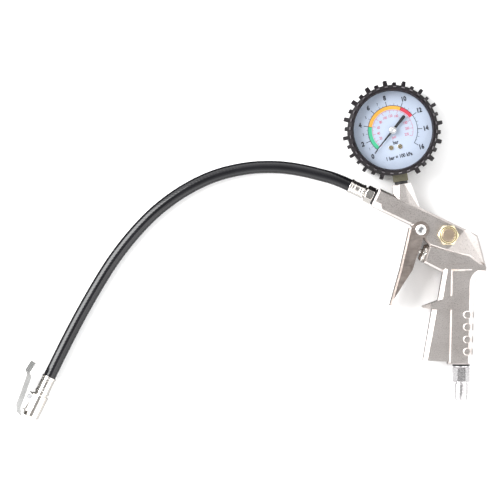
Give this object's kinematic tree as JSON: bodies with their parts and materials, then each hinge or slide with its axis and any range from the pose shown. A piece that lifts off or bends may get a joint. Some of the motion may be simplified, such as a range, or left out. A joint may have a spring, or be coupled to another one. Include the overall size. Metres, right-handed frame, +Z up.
{
  "type": "tyre inflator with gauge",
  "caption": "Pistol-grip air line tyre inflator with a dial pressure gauge in a rubber boot, a bleed valve, a short hose and a clip-on chuck.",
  "frame": {"origin": "on the surface the tool lies on, under the middle of the gun and gauge", "axes": "+X towards the back of the handle, +Y from the handle's end towards the gauge, +Z up off the surface, out of the dial"},
  "size_m": [0.3768, 0.2721, 0.0318],
  "materials": {
    "cast_metal": "satin nickel-coloured casting with a fine grain",
    "pressed_sheet": "satin warm grey sheet",
    "bright_pin": "bright",
    "spring_steel": "plain",
    "chrome_fittings": "bright",
    "seal_rubber": "matte",
    "brass": "satin",
    "button_metal": "satin",
    "stem_brass": "dull",
    "case_steel": "black paint",
    "boot_rubber": "semi-matte moulded",
    "clear_lens": "clear, flat",
    "dial_print": "matte with printed scales",
    "pointer_black": "matte black",
    "hose_rubber": "glossy with a fine wrap texture",
    "chuck_metal": "bright",
    "chuck_sheet": "bright",
    "plug_nickel": "bright nickel"
  },
  "bodies": {
    "gun": {"gun_body": "cast_metal", "trigger_pin": "bright_pin", "trigger_pin_clip": "spring_steel", "valve_gland_nut": "chrome_fittings", "valve_stem_seal": "seal_rubber", "valve_seat": "brass", "valve_spring": "spring_steel", "bleed_valve_collar": "brass", "bleed_spring": "spring_steel", "gauge_stem": "stem_brass", "gauge_seal_washer": "seal_rubber", "gauge_case": "case_steel", "gauge_boot": "boot_rubber", "gauge_lens": "clear_lens", "lens_gasket": "seal_rubber", "gauge_dial": "dial_print", "dial_screws": "brass", "movement_plates": "brass", "movement_pillars": "brass", "movement_screws": "spring_steel", "bourdon_tube": "brass", "tube_tip": "brass", "hairspring": "spring_steel", "hose_washer": "seal_rubber", "hose_nut": "chrome_fittings", "hose_barb": "chrome_fittings", "hose_ferrule": "chrome_fittings", "hose": "hose_rubber", "chuck_ferrule": "chrome_fittings", "chuck_body": "chuck_metal", "chuck_lever_pin": "spring_steel", "chuck_lever_spring": "spring_steel", "chuck_seal": "seal_rubber", "inlet_plug": "plug_nickel", "inlet_seal_washer": "seal_rubber", "inlet_filter": "brass"},
    "trigger_lever": {"trigger": "pressed_sheet"},
    "valve_rod": {"valve_stem": "chrome_fittings", "valve_head_seal": "seal_rubber"},
    "bleed_plunger": {"bleed_button": "button_metal", "bleed_seal": "seal_rubber"},
    "sector": {"sector_gear": "brass"},
    "pointer": {"gauge_pointer": "pointer_black", "pointer_hub": "chrome_fittings", "pinion_shaft": "spring_steel"},
    "link": {"gauge_link": "brass"},
    "chuck_clip": {"chuck_lever": "chuck_sheet"},
    "core_pin": {"chuck_plunger": "brass"}
  },
  "joints": [
    {"name": "trigger_squeeze", "type": "hinge", "parent": "gun", "child": "trigger_lever", "pos_m": [0.0052, 0.0086, 0.0138], "axis": [0, 0, 1], "range_deg": [0, 15], "stiffness_Nm_per_rad": 0.25, "springref_deg": -11.46},
    {"name": "valve_open", "type": "slide", "parent": "gun", "child": "valve_rod", "axis": [0.9026, -0.4305, 0], "range_m": [0, 0.0041], "deforming": ["valve_spring"]},
    {"name": "bleed_press", "type": "slide", "parent": "gun", "child": "bleed_plunger", "axis": [0, 0, -1], "range_m": [0, 0.002], "stiffness_N_per_m": 800, "springref_m": -0.001, "deforming": ["bleed_spring"]},
    {"name": "sector_turn", "type": "hinge", "parent": "gun", "child": "sector", "pos_m": [-0.02522, 0.07454, 0.0135], "axis": [0, 0, 1], "range_deg": [0, 33]},
    {"name": "pointer_turn", "type": "hinge", "parent": "gun", "child": "pointer", "pos_m": [-0.0172, 0.0881, 0.016], "axis": [0, 0, 1], "range_deg": [-264.5, 0]},
    {"name": "link_swing", "type": "hinge", "parent": "sector", "child": "link", "pos_m": [-0.01953, 0.07047, 0.0147], "axis": [0, 0, 1], "range_deg": [-33.5, 0]},
    {"name": "chuck_clip_press", "type": "hinge", "parent": "gun", "child": "chuck_clip", "pos_m": [-0.31009, -0.12384, 0.01093], "axis": [-0.3665, 0.1764, -0.9135], "range_deg": [0, 12], "stiffness_Nm_per_rad": 0.1, "springref_deg": -11.46},
    {"name": "core_pin_push", "type": "slide", "parent": "gun", "child": "core_pin", "axis": [0.4337, 0.9011, 0], "range_m": [0, 0.002], "stiffness_N_per_m": 600, "springref_m": -0.001}
  ],
  "couplings": [
    {"joint": "valve_open", "follows": "trigger_squeeze", "m_per_rad": 0.015},
    {"joint": "pointer_turn", "follows": "sector_turn", "ratio": -8},
    {"joint": "link_swing", "follows": "sector_turn", "ratio": -1}
  ]
}
